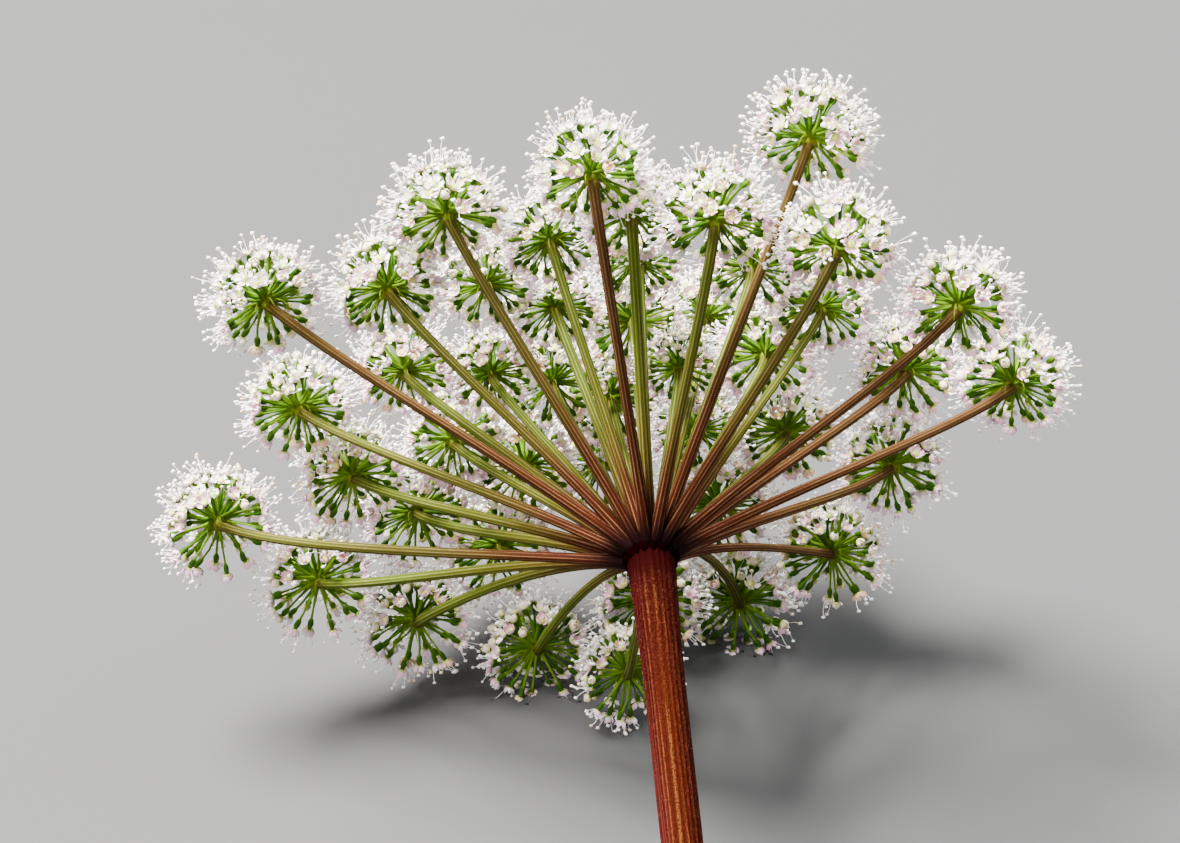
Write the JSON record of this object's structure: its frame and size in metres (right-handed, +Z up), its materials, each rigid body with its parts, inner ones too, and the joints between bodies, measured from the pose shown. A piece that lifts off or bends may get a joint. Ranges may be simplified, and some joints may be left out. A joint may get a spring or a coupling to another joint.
{
  "type": "hogweed flower head",
  "caption": "Cut umbel lying on its side: a ribbed red stem, a spray of brown-green rays, and on each ray a rounded umbellet of small pinkish-white florets.",
  "frame": {"origin": "centre of the bounding box's underside, on the surface the umbel lies on", "axes": "+Z up from the surface; +Y along the lying stem from its cut end towards the flower head; +X to the right of the stem seen from its cut end"},
  "size_m": [0.152, 0.265, 0.1325],
  "materials": {
    "stem": "satin, ribbed, finely downy",
    "rays": "satin, grooved lengthwise",
    "umbellet": "soft matt petals on green stalks"
  },
  "bodies": {
    "root": {"stem": "stem", "rays": "rays", "umbellet_01": "umbellet", "umbellet_02": "umbellet", "umbellet_03": "umbellet", "umbellet_04": "umbellet", "umbellet_05": "umbellet", "umbellet_06": "umbellet", "umbellet_07": "umbellet", "umbellet_08": "umbellet", "umbellet_09": "umbellet", "umbellet_10": "umbellet", "umbellet_11": "umbellet", "umbellet_12": "umbellet", "umbellet_13": "umbellet", "umbellet_14": "umbellet", "umbellet_15": "umbellet", "umbellet_16": "umbellet", "umbellet_17": "umbellet", "umbellet_18": "umbellet", "umbellet_19": "umbellet", "umbellet_20": "umbellet", "umbellet_21": "umbellet", "umbellet_22": "umbellet", "umbellet_23": "umbellet", "umbellet_24": "umbellet", "umbellet_25": "umbellet", "umbellet_26": "umbellet", "umbellet_27": "umbellet", "umbellet_28": "umbellet", "umbellet_29": "umbellet", "umbellet_30": "umbellet", "umbellet_31": "umbellet", "umbellet_32": "umbellet", "umbellet_33": "umbellet", "umbellet_34": "umbellet", "umbellet_35": "umbellet", "umbellet_36": "umbellet", "umbellet_37": "umbellet", "umbellet_38": "umbellet", "umbellet_39": "umbellet", "umbellet_40": "umbellet", "umbellet_41": "umbellet", "umbellet_42": "umbellet", "umbellet_43": "umbellet", "umbellet_44": "umbellet"}
  },
  "joints": []
}
